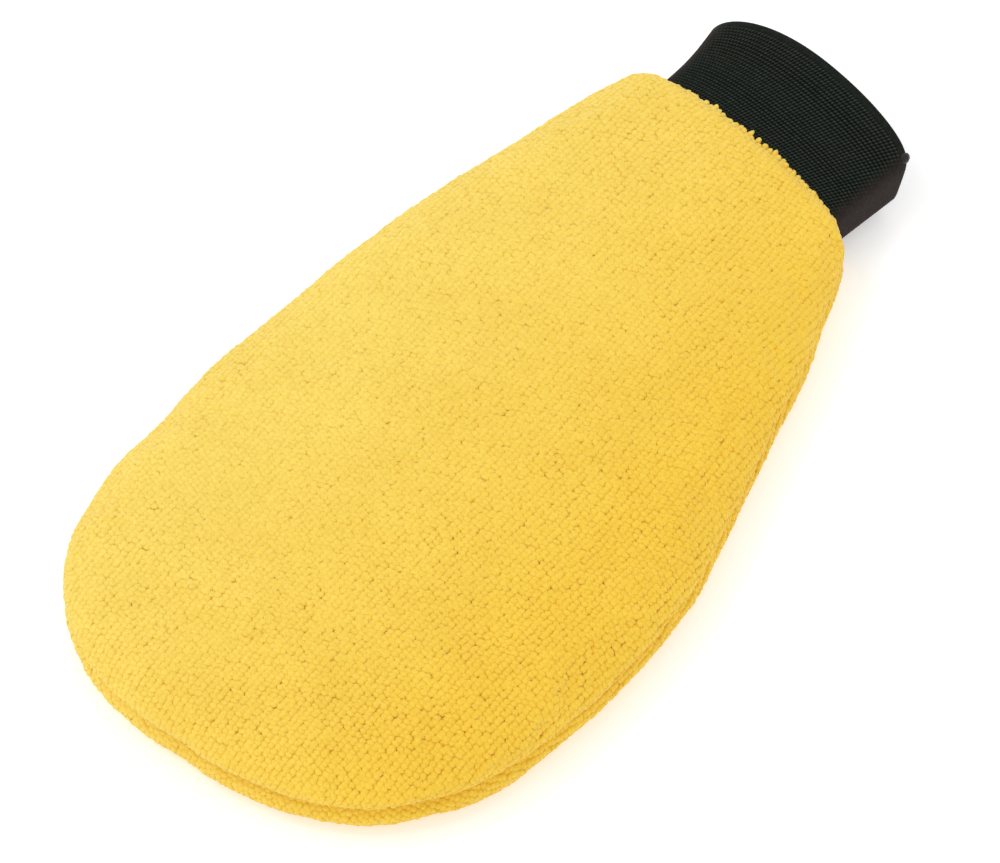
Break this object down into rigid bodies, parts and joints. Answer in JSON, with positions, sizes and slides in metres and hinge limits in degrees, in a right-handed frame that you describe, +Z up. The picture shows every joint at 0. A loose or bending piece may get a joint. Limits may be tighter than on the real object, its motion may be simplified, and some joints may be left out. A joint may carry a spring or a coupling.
{
  "type": "wash mitt",
  "caption": "Padded terry wash mitt: a rounded paddle-shaped pocket for the hand with soft looped washing faces, a seam round the edge and a stretchy woven wrist cuff.",
  "frame": {"origin": "centre of the bounding box at the resting face, under the back terry panel", "axes": "+X across the width; +Y along the length, from the fingertip end to the wrist cuff; +Z up, out of the front washing face"},
  "size_m": [0.1552, 0.2886, 0.026],
  "materials": {
    "yellow_terry": "looped microfibre terry, matt, soft pile between 1 and 2 mm high",
    "sponge_foam": "open-cell sponge sheet, matt",
    "lining_cloth": "thin smooth woven cloth, slight sheen",
    "yellow_thread": "spun polyester sewing thread",
    "white_thread": "spun polyester sewing thread",
    "black_elastic": "woven elastic, fine rows round the wrist, matt with a weak sheen",
    "black_thread": "spun polyester sewing thread"
  },
  "bodies": {
    "mitt_body": {"front_terry_panel": "yellow_terry", "back_terry_panel": "yellow_terry", "front_foam_pad": "sponge_foam", "back_foam_pad": "sponge_foam", "front_lining": "lining_cloth", "back_lining": "lining_cloth", "perimeter_seam_thread": "yellow_thread", "perimeter_overlock_thread": "yellow_thread", "lining_seam_thread": "white_thread"},
    "cuff": {"cuff_band": "black_elastic", "cuff_seam_thread": "black_thread", "neck_seam_thread": "black_thread"}
  },
  "joints": [
    {"name": "cuff_flex", "type": "hinge", "parent": "mitt_body", "child": "cuff", "pos_m": [0.0018, 0.11268, 0.013], "axis": [0.9877, -0.1564, 0], "range_deg": [-3, 30], "stiffness_Nm_per_rad": 0.06}
  ]
}
